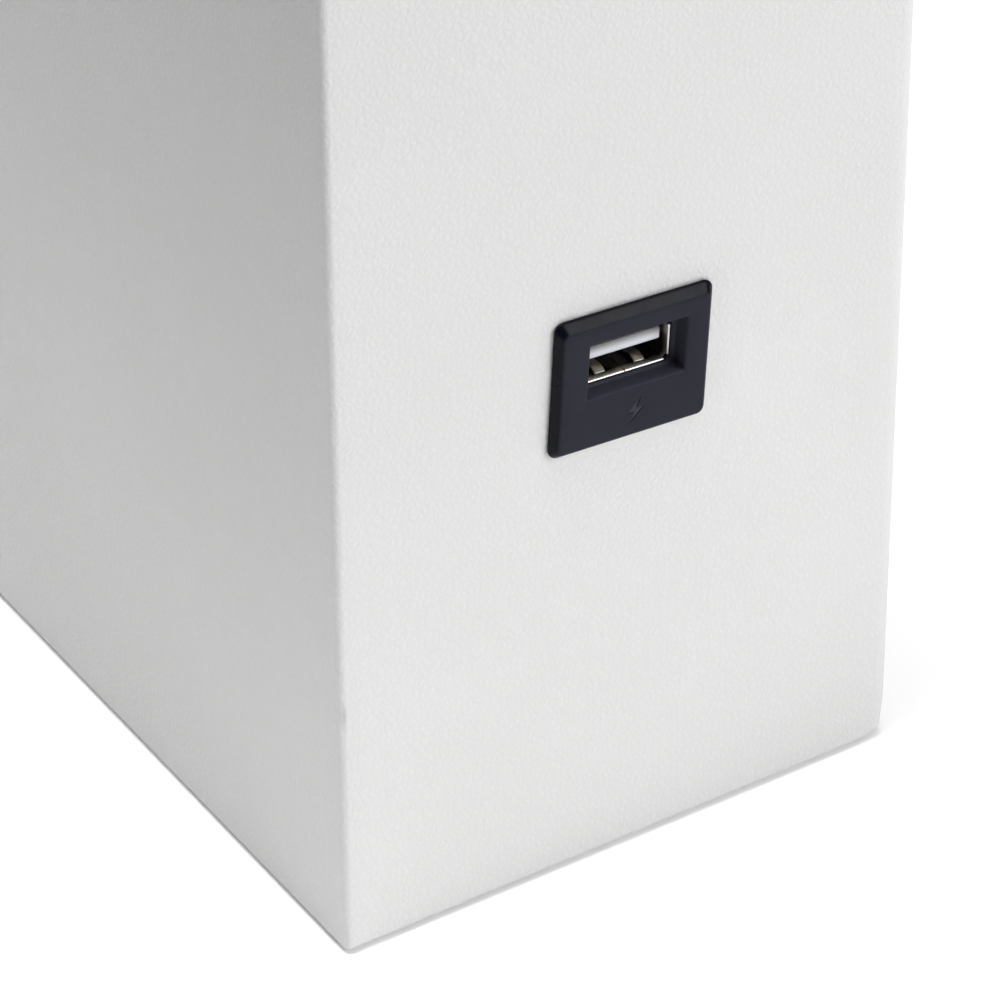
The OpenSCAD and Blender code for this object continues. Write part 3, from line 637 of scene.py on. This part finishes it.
def strip(mid, t):
    """The outline of a bent strip of thickness t along the middle line mid, with rounded ends."""
    left, right = [], []
    for i, p in enumerate(mid):
        a, b = mid[max(i - 1, 0)], mid[min(i + 1, len(mid) - 1)]
        dx, dz = b[0] - a[0], b[1] - a[1]
        l = math.hypot(dx, dz)
        nx, nz = -dz / l, dx / l
        left.append((p[0] + nx * t / 2, p[1] + nz * t / 2))
        right.append((p[0] - nx * t / 2, p[1] - nz * t / 2))
    a, b = mid[-2], mid[-1]
    l = math.hypot(b[0] - a[0], b[1] - a[1])
    ux, uz = (b[0] - a[0]) / l, (b[1] - a[1]) / l
    cap = []
    for k in range(1, 6):
        g = math.pi * k / 6
        c, s = math.cos(g), math.sin(g)
        cap.append((b[0] + (-uz * c + ux * s) * t / 2, b[1] + (ux * c + uz * s) * t / 2))
    return left + cap + list(reversed(right))


# ------------------------------------------------------------------ the wrap
EDGE_R, EASED_R = 1.1, 3.0


def plan_ring(inset, seam=True):
    """Stations round the wrap's plan, taken in by inset mm: (x, y, outward x, outward y, run)."""
    a, b = W2 / MM - inset, D2 / MM - inset
    r, q = max(EDGE_R - inset, 0.15), max(EASED_R - inset, 0.15)
    rs = [q, r, r, r]                                     # front right, back right, back left, front left
    cs = [(a - q, -b + q), (a - r, b - r), (-a + r, b - r), (-a + r, -b + r)]
    t0 = [-90, 0, 90, 180]
    q0 = W2 / MM - 14.0                                   # the butt seam down the back
    narrow = [x / 10 for x in range(-423, 424, 9) if abs(x) < 190 or x % 27 == 0]
    seamed = [x for x in narrow if abs(x - q0) > 1.6] + [q0 + d for d in (-1.4, -0.8, -0.45, -0.25, -0.1, 0.1, 0.25, 0.45, 0.8, 1.4)]
    keep = 30.8                                           # nearer the middle than this, stations stay put in every ring
    out = []
    for i in range(4):
        c, rad = cs[i], rs[i]
        for k in range(9):
            g = math.radians(t0[i] + 90 * k / 8)
            out.append((c[0] + rad * math.cos(g), c[1] + rad * math.sin(g), math.cos(g), math.sin(g)))
        p = out[-1]
        c2, r2 = cs[(i + 1) % 4], rs[(i + 1) % 4]
        g2 = math.radians(t0[(i + 1) % 4] + (360 if i == 3 else 0))
        e = (c2[0] + r2 * math.cos(g2), c2[1] + r2 * math.sin(g2))
        if i % 2 == 0:                                    # the two wide faces
            for k in range(1, 44):
                out.append((p[0], p[1] + (e[1] - p[1]) * k / 44, p[2], p[3]))
            continue
        lo, hi = min(p[0], e[0]), max(p[0], e[0])
        for x in sorted(seamed if i == 1 else narrow, reverse=i == 1):
            end = hi if x > 0 else -lo
            t = abs(x)
            if t > keep:
                t = keep + (t - keep) * (end - keep) / (W2 / MM - keep)
            out.append((math.copysign(t, x), p[1], p[2], p[3]))
    return out


def swell(x, y, z):
    """How far the wrap stands out at a point, in mm: long soft waves in the foam, none at the corners."""
    p = Vector((x, y, z))
    v = 0.10 * noise.noise(p / 31.0 + Vector((3.1, 0, 0))) + 0.05 * noise.noise(p / 13.0 + Vector((0, 7.7, 0)))
    return v


bezel_c = SOCK.translation / MM
inlet_c = INLET.translation / MM


def relief(x, y, z, nx, ny):
    a, b = W2 / MM, D2 / MM
    # distance to the nearest vertical edge along the face
    run = (a - abs(x)) if abs(ny) > 0.7 else (b - abs(y))
    fade = min(1.0, max(0.0, (run - 2.0) / 10.0)) * min(1.0, max(0.0, (z - 4) / 12.0)) * min(1.0, max(0.0, (TOP / MM - 4 - z) / 12.0))
    d = swell(x, y, z) * fade - 0.05 * fade
    if abs(ny) > 0.9:
        # the wrap is pulled in a little where a flange bears on it, with faint puckers round it
        c, hw, hh = (bezel_c, 11.95, 9.85) if ny < 0 else (inlet_c, 14.5, 10.5)
        u, v = x - c.x, z - c.z
        if ny < 0:
            u, v = u * math.cos(SKEW) - v * math.sin(SKEW), u * math.sin(SKEW) + v * math.cos(SKEW)
        gap = math.hypot(max(0.0, abs(u) - hw), max(0.0, abs(v) - hh))
        near = math.exp(-(gap / 2.2) ** 2)
        ang = math.atan2(v, u)
        d += near * (-0.16 + 0.07 * noise.noise(Vector((ang * 5.5, 0.3, 2.0))))
        if gap == 0:
            d = -0.12
    # the wrap is drawn in round the foot of the eased front right corner
    if x > 0 and y < 0 and z < 2.9:
        s = (a - x) + (y + b)
        d -= min(0.62, 2.6 - math.sqrt(max(0.0, 2.6 ** 2 - (2.9 - z) ** 2))) * math.exp(-(s / 3.6) ** 2)
    # a small nick in the front left edge
    if x < 0 and ny < -0.2 and nx < -0.2:
        d -= 0.35 * math.exp(-((z - 38.5) / 1.1) ** 2)
    # the butt seam down the back
    if ny > 0.9:
        s = abs(x - (a - 14.0))
        d += 0.10 * math.exp(-((s - 0.7) / 0.5) ** 2) - 0.55 * math.exp(-(s / 0.2) ** 2)
    return d


def wrap():
    zr, bot = TOP / MM - 0.9, wrap_lo.z / MM              # upper face of the turned-over ring, lower face of the hem
    outer = [(11.0, bot), (8.0, bot), (4.0, bot)]
    for k in range(7):                                    # bottom roll, 0.9 mm radius
        g = math.radians(270 - 90 * k / 6)
        outer.append((0.9 + 0.9 * math.cos(g), bot + 0.9 + 0.9 * math.sin(g)))
    zs, z = [], bot + 0.9                                 # levels, closer at the heights of the two flanges
    while z < zr - 5.5:
        z += 1.3 if any(abs(z - c.z) < h for c, h in ((bezel_c, 14), (inlet_c, 14))) else 4.0
        zs.append(z)
    outer += [(0.0, z) for z in zs]
    for k in range(7):                                    # top roll, 1.1 mm radius
        g = math.radians(180 - 90 * k / 6)
        outer.append((1.1 + 1.1 * math.cos(g), zr - 1.1 + 1.1 * math.sin(g)))
    outer += [(2.0, zr), (4.0, zr), (8.0, zr), (11.0, zr)]
    t = 0.9
    inner = [(11.0, zr - t), (4.0, zr - t), (1.3, zr - t), (t, zr - 1.4)]
    inner += [(t, z) for z in reversed(zs[1:-1:2])]
    inner += [(t, bot + 1.4), (1.3, bot + t), (4.0, bot + t), (11.0, bot + t)]
    bm = bmesh.new()
    rings = []
    for k, (inset, z) in enumerate(outer + inner):
        ring = []
        for x, y, nx, ny in plan_ring(inset):
            d = 0.0
            if inset < t + 0.05:
                d = relief(x, y, z, nx, ny)
                if k >= len(outer):
                    d = min(0.0, d) if abs(d) < 0.3 else d * 0.5
            ring.append(Vector((x + nx * d, y + ny * d, z)) * MM)
        rings.append(ring)
    loft(bm, rings)
    o = finish_mesh("leatherette_wrap", bm, M["leatherette"], "post", ["leatherette_cover"], sharp=60)
    c = bmesh.new()
    add_box(c, (-9.5, -3, -6.2), (9.5, 13, 6.8), SOCK)
    add_box(c, (-11.6, -3, -7.9), (11.6, 13, 7.9), INLET)
    cut(o, c)
    resharp(o, 60)
    return o


wrap()


def slab(name, node, mat, r_plan, r_edge, crown, body, slot, rows=3):
    """The plan rings and rolled-edge profile of a thin sheet, in the box of its CAD node."""
    lo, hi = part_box(node)
    lo, hi = lo / MM, hi / MM
    w, d, t = hi.x - lo.x, hi.y - lo.y, hi.z - lo.z
    cx, cy = (lo.x + hi.x) / 2, (lo.y + hi.y) / 2

    def ring(inset, z, wob=0.0):
        r = max(r_plan - inset, 0.2)
        pts = rr(w - 2 * inset, d - 2 * inset, r, cx, cy, 0.0, 8, 30)
        out = []
        for p in pts:
            q = Vector((p.x, p.z, z * MM))
            if wob:
                k = noise.noise(q / MM / 3.0) * wob
                v = Vector((q.x / MM - cx, q.y / MM - cy, 0))
                v.normalize()
                q += v * min(0.0, k - wob * 0.5) * MM
            out.append(q)
        return out

    re = min(r_edge, t / 2 - 0.03)
    prof = []
    for k in range(5):
        g = math.radians(-90 + 90 * k / 4)
        prof.append((re - re * math.cos(g), lo.z + re + re * math.sin(g)))
    for k in range(5):
        g = math.radians(90 * k / 4)
        prof.append((re - re * math.cos(g), hi.z - re + re * math.sin(g)))
    return ring, prof, (lo, hi, w, d, cx, cy)


def top_inlay():
    ring, prof, (lo, hi, w, d, cx, cy) = slab("top_inlay", "top_inlay", None, 2.0, 0.42, 0.0, "post", "leatherette")
    bm = bmesh.new()
    rings = [ring(i, z) for i, z in prof]
    vs = loft(bm, rings, closed=False)
    # fill the upper and lower faces with rings drawn in towards the middle
    for start, z, up in ((vs[-1], hi.z, True), (vs[0], lo.z, False)):
        prev = start
        for inset in (1.5, 3.0, 6.0, 11.0, 18.0, 27.0, 36.0):
            pts = ring(inset, z)
            new = []
            for p in pts:
                q = p.copy()
                if up:
                    x, y = q.x / MM, q.y / MM
                    q.z += (0.06 * noise.noise(Vector((x, y, 0)) / 17.0) - 0.09) * min(1, inset / 6) * MM
                    # soft step where the turned-over ring ends under the inlay
                    q.z -= 0.05 * math.exp(-((inset - 11.0) / 1.5) ** 2) * MM
                new.append(bm.verts.new(q))
            n = len(new)
            for j in range(n):
                bm.faces.new((prev[j], prev[(j + 1) % n], new[(j + 1) % n], new[j]))
            prev = new
        bm.faces.new(prev)
    o = finish_mesh("top_panel_cover", bm, M["leatherette"], "post", ["top_inlay"], sharp=60)


top_inlay()


def felt_pad():
    ring, prof, (lo, hi, w, d, cx, cy) = slab("felt", "felt_pad", None, 3.0, 0.3, 0.0, "post", "felt")
    bm = bmesh.new()
    rings = [ring(i + 0.6, z, 0.35) for i, z in prof]      # cut a little short of the wrap's hem
    vs = loft(bm, rings, closed=False)
    for start, z in ((vs[-1], hi.z), (vs[0], lo.z)):
        prev = start
        for inset in (2.0, 8.0, 20.0, 34.0):
            pts = ring(inset, z)
            new = [bm.verts.new(p) for p in pts]
            n = len(new)
            for j in range(n):
                bm.faces.new((prev[j], prev[(j + 1) % n], new[(j + 1) % n], new[j]))
            prev = new
        bm.faces.new(prev)
    o = finish_mesh("felt_base", bm, M["felt"], "post", ["felt_pad"], sharp=70)


felt_pad()


# ------------------------------------------------------------------ the socket
BOLT = [(0.5, 1.15), (-0.85, -0.2), (-0.1, -0.2), (-0.5, -1.15), (0.85, 0.2), (0.1, 0.2)]


def bezel():
    W, H, DX = 23.5, 19.7, -0.2
    # depth, inset at the sides and foot, inset at the top, corner radius
    prof = [(0.0, 0.12, 0.12, 1.3), (-0.06, 0.02, 0.02, 1.4), (-0.20, 0.0, 0.0, 1.4), (-0.33, 0.03, 0.04, 1.38), (-0.45, 0.11, 0.15, 1.33), (-0.62, 0.24, 0.36, 1.26),
            (-0.82, 0.40, 0.62, 1.16), (-1.02, 0.56, 0.88, 1.06), (-1.17, 0.69, 1.08, 1.0), (-1.28, 0.80, 1.24, 0.93), (-1.35, 0.91, 1.38, 0.86), (-1.385, 1.04, 1.52, 0.78), (-1.39, 1.20, 1.68, 0.7)]
    rings = [rr(W - 2 * i, H - i - t, r, DX, (i - t) / 2, y, 8, 14) for y, i, t, r in prof]
    rw, rh, rz, rx = 14.65, 8.0, 2.05, 0.125
    for y, g, r in ((-1.39, 0.26, 0.46), (-1.375, 0.14, 0.38), (-1.32, 0.05, 0.32), (-1.2, -0.01, 0.3), (0.60, -0.16, 0.36), (0.85, -0.24, 0.42), (0.97, -0.38, 0.46), (1.01, -0.56, 0.46)):
        rings.append(rr(rw + 2 * g, rh + 2 * g, r, rx, rz, y, 8, 14))
    for y, g in ((1.01, 0.15), (1.02, 0.12), (1.07, 0.10), (2.3, 0.10)):
        rings.append(rr(13.1 + 2 * g, 5.72 + 2 * g, 0.6, 0, 1.6, y, 8, 14))
    rings.append(rr(15.8, 9.8, 0.3, 0, 0.3, 2.3, 8, 14))
    rings.append(rr(15.8, 9.8, 0.3, 0, 0.3, 19.9, 8, 14))
    rings.append(rr(16.0, 10.0, 0.35, 0, 0.3, 20.0, 8, 14))
    rings.append(rr(18.0, 12.0, 0.4, 0, 0.3, 20.0, 8, 14))
    rings.append(rr(18.2, 12.2, 0.45, 0, 0.3, 19.9, 8, 14))
    rings.append(rr(18.2, 12.2, 0.45, 0, 0.3, 0.15, 8, 14))
    rings.append(rr(18.5, 12.5, 0.5, 0, 0.3, 0.0, 8, 14))
    bm = bmesh.new()
    loft(bm, rings, m=SOCK)
    o = finish_mesh("bezel_moulding", bm, M["bezel_plastic"], "post", ["socket_bezel"], sharp=38)
    c = bmesh.new()
    for i in (-1, 1):
        for z in (-2.5, 3.1):
            add_box(c, (i * 8.5 - 1, 4.5, z - 0.6), (i * 8.5 + 1, 16.7, z), SOCK)
        add_box(c, (i * 8.5 - 1, 16.6, -3.1), (i * 8.5 + 1, 17.2, 3.1), SOCK)
    cut(o, c)
    c = bmesh.new()
    prism(c, [(0.2 + 1.6 * x, -5.5 + 1.6 * z) for x, z in BOLT], -2.0, -1.39 + 0.1, SOCK, "y")
    cut(o, c)
    # barbs and board rails, fused on
    bm = bmesh.new()
    bm.from_mesh(o.data)
    for i in (-1, 1):
        pts = [(i * 8.9, 11.55), (i * 10.2, 11.55), (i * 10.2, 12.05), (i * 9.1, 14.95), (i * 8.9, 14.95)]
        rings = [[SOCK @ (Vector((x, y, z)) * MM) for x, y in pts] for z in (-2.4, 2.4)]
        vs = loft(bm, rings, closed=False)
        a, b = bm.faces.new(vs[0]), bm.faces.new(list(reversed(vs[1])))
        add_box(bm, (i * 7.5 - 0.45, 5, -4.7), (i * 7.5 + 0.45, 19, -3.23), SOCK)
    bmesh.ops.recalc_face_normals(bm, faces=bm.faces)
    bm.to_mesh(o.data)
    bm.free()
    resharp(o, 38)


bezel()

FLOOR_Z, ROOF_Z = 1.6 - 2.86, 1.6 + 2.86
TONGUE_Z = ROOF_Z - 0.3 - 2.5


def shell():
    w, h, z0, l = 13.1, 5.72, 1.6, 13.8
    rings = []
    for y, s, r in ((l, 0.0, 0.7), (0.10, 0.0, 0.7), (0.04, 0.02, 0.69), (0.0, 0.07, 0.65), (0.02, 0.14, 0.58), (0.08, 0.21, 0.52), (0.15, 0.265, 0.48), (0.24, 0.30, 0.45), (l, 0.30, 0.45)):
        rings.append(rr(w - 2 * s, h - 2 * s, r, 0, z0, MOUTH + y, 6, 12))
    bm = bmesh.new()
    loft(bm, rings, m=SOCK)
    o = finish_mesh("shell_pressing", bm, shell_metal(), "post", ["socket_shell"], sharp=40)
    c = bmesh.new()
    for x in (-2.95, 2.95):
        add_box(c, (x - 1.35, MOUTH + 0.95, FLOOR_Z - 0.2), (x + 1.35, MOUTH + 7.4, FLOOR_Z + 0.5), SOCK)
        add_box(c, (x - 1.35, MOUTH + 0.95, ROOF_Z - 0.5), (x + 1.35, MOUTH + 7.4, ROOF_Z + 0.2), SOCK)
    for i in (-1, 1):
        for j in (-1, 1):
            x, z = i * w / 2, z0 + j * h / 2
            add_box(c, (x - 0.7, MOUTH - 1, z - 0.7), (x + 0.7, MOUTH + 0.6, z + 0.7), SOCK)
    # the seam where the strip closes: a straight gap with one dovetail
    add_box(c, (-0.06, MOUTH - 1, FLOOR_Z - 1), (0.06, MOUTH + 4.4, FLOOR_Z + 0.6), SOCK)
    add_box(c, (-0.06, MOUTH + 7.6, FLOOR_Z - 1), (0.06, MOUTH + l + 1, FLOOR_Z + 0.6), SOCK)
    add_box(c, (-0.9, MOUTH + 4.3, FLOOR_Z - 1), (0.06, MOUTH + 4.42, FLOOR_Z + 0.6), SOCK)
    add_box(c, (-0.9, MOUTH + 7.58, FLOOR_Z - 1), (0.06, MOUTH + 7.7, FLOOR_Z + 0.6), SOCK)
    add_box(c, (-0.9, MOUTH + 4.35, FLOOR_Z - 1), (-0.78, MOUTH + 7.65, FLOOR_Z + 0.6), SOCK)
    cut(o, c)
    bm = bmesh.new()
    bm.from_mesh(o.data)
    add_box(bm, (-6, MOUTH + l - 0.3, TONGUE_Z + 1), (6, MOUTH + l, ROOF_Z - 0.1), SOCK)
    for i in (-1, 1):
        for y in (4.4, 12.4):
            x = i * (w / 2 - 0.15)
            add_box(bm, (x - 0.15, y, FLOOR_Z - 3), (x + 0.15, y + 1.2, 1.0), SOCK)
    bmesh.ops.recalc_face_normals(bm, faces=bm.faces)
    bm.to_mesh(o.data)
    bm.free()
    bevel(o, 0.00005, 2, 40)


shell()


def leaf(name, node, mid, t, half, m, slot, tip=None):
    """A bent spring: half its width at the root, tapered to tip at the crest."""
    tip = tip or half
    line = strip(smooth_line(mid, 5), t)
    wide = [tip + (half - tip) * min(1.0, max(0.0, (y - 3.3) / 2.4)) for y, z in line]
    rings = [[Vector((s * h, y, z)) * MM for h, (y, z) in zip(wide, line)] for s in (-1, 1)]
    bm = bmesh.new()
    vs = loft(bm, rings, closed=False, m=m)
    bm.faces.new(vs[0])
    bm.faces.new(list(reversed(vs[1])))
    o = finish_mesh(name, bm, M[slot], N[node]["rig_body"], [node], sharp=38)
    bevel(o, 0.00004, 2, 40)
    return o


FINGER = [(7.25, 0.15), (5.6, 0.20), (4.2, 0.40), (3.0, 0.575), (2.3, 0.61), (1.75, 0.44), (1.28, 0.16)]
for i, side in ((-1, "left"), (1, "right")):
    lower = SOCK @ Matrix.Translation(Vector((i * 2.95, MOUTH, FLOOR_Z)) * MM)
    upper = SOCK @ Matrix.Translation(Vector((i * 2.95, MOUTH, ROOF_Z)) * MM) @ Matrix.Scale(-1, 4, (0, 0, 1))
    leaf("leaf_lower_" + side, "finger_lower_" + side, FINGER, 0.28, 1.2, lower, "shell_nickel", 0.76)
    leaf("leaf_upper_" + side, "finger_upper_" + side, FINGER, 0.28, 1.2, upper, "shell_nickel", 0.76)
BEAM = [(9.6, 0.375), (8.0, 0.36), (6.0, 0.15), (4.4, -0.06), (3.0, -0.225), (2.35, -0.24), (1.8, -0.02), (1.36, 0.30)]
for i, x in enumerate((-3.5, -1.0, 1.0, 3.5)):
    leaf("beam_%d" % (i + 1), "contact_%d" % (i + 1), BEAM, 0.23, 0.5,
         SOCK @ Matrix.Translation(Vector((x, MOUTH, TONGUE_Z)) * MM), "contact_gold")

eased("socket_tongue", "tongue_moulding", 0.00010, 3)
eased("inlet_body", "inlet_moulding", 0.00035, 3)
eased("socket_rear_cap", "rear_cap_moulding", 0.0002, 2)
eased("supply_tray", "tray_moulding", 0.0004, 2)
eased("supply_lid", "lid_moulding", 0.0004, 2)
eased("lead_plug", "plug_moulding", 0.00012, 2)


# ------------------------------------------------------------------ stage and light
def stage():
    me = bpy.data.meshes.new("floor")
    # a white sheet that ends a little way out on the left, so the left face darkens upwards
    x0, x1, y0, y1, z = -0.29, 2.2, -2.0, 1.6, cad_lo.z
    me.from_pydata([(x0, y0, z), (x1, y0, z), (x1, y1, z), (x0, y1, z)], [], [(0, 1, 2, 3)])
    o = bpy.data.objects.new("floor", me)
    bpy.context.scene.collection.objects.link(o)
    m = Mat("floor")
    k = m.noise(3.0, 2.0).outputs[0]
    m.colour(m.mix(k, (0.95, 0.95, 0.95), (0.965, 0.965, 0.965)))
    m.set(Roughness=0.9, Specular_IOR_Level=0.1)
    glow = m.add("ShaderNodeEmission")
    glow.inputs["Strength"].default_value = 0.16
    ray = m.add("ShaderNodeLightPath")
    none = m.add("ShaderNodeEmission")
    none.inputs["Strength"].default_value = 0.0
    pick = m.add("ShaderNodeMixShader")
    m.link(ray.outputs["Is Camera Ray"], pick.inputs[0])
    m.link(none.outputs[0], pick.inputs[1])
    m.link(glow.outputs[0], pick.inputs[2])
    both = m.add("ShaderNodeAddShader")
    m.link(m.b.outputs[0], both.inputs[0])
    m.link(pick.outputs[0], both.inputs[1])
    m.link(both.outputs[0], m.out.inputs[0])
    me.materials.append(m.m)
    o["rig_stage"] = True
    return o


stage()
WORLD = 0.02
LIGHTS = (
    ("over", (0.0, 0.0, 3.0), (0, 0, 0), 0.8, 33.0),
    ("over_wide", (0.2, -0.3, 2.0), (0, 0, 0), 1.6, 12.5),
    ("over_left", (-0.8, 0.1, 3.0), (0, 0, 0), 0.8, 50.0),
    ("front_right", (1.2, -1.8, 1.1), (0, 0, 0.1), 1.3, 27.5),
)


def area(name, at, to, size, power):
    d = bpy.data.lights.new(name, "AREA")
    d.shape, d.size, d.energy = "SQUARE", size, power
    o = bpy.data.objects.new(name, d)
    bpy.context.scene.collection.objects.link(o)
    o.matrix_world = Matrix.Translation(at) @ (Vector(at) - Vector(to)).to_track_quat("Z", "Y").to_matrix().to_4x4()


for args in LIGHTS:
    area(*args)
w = bpy.data.worlds.new("studio")
bpy.context.scene.world = w
w.use_nodes = True
t = w.node_tree
bg = t.nodes["Background"]
bg.inputs[0].default_value = (1, 1, 1, 1)
bg.inputs[1].default_value = WORLD
seen = t.nodes.new("ShaderNodeBackground")
seen.inputs[0].default_value = (1, 1, 1, 1)
seen.inputs[1].default_value = 1.0
lp = t.nodes.new("ShaderNodeLightPath")
mx = t.nodes.new("ShaderNodeMixShader")
t.links.new(lp.outputs["Is Camera Ray"], mx.inputs[0])
t.links.new(bg.outputs[0], mx.inputs[1])
t.links.new(seen.outputs[0], mx.inputs[2])
t.links.new(mx.outputs[0], t.nodes["World Output"].inputs[0])
bpy.context.scene.view_settings.view_transform = "Standard"
bpy.context.scene.view_settings.look = "None"
bpy.context.scene.view_settings.exposure = 0.0
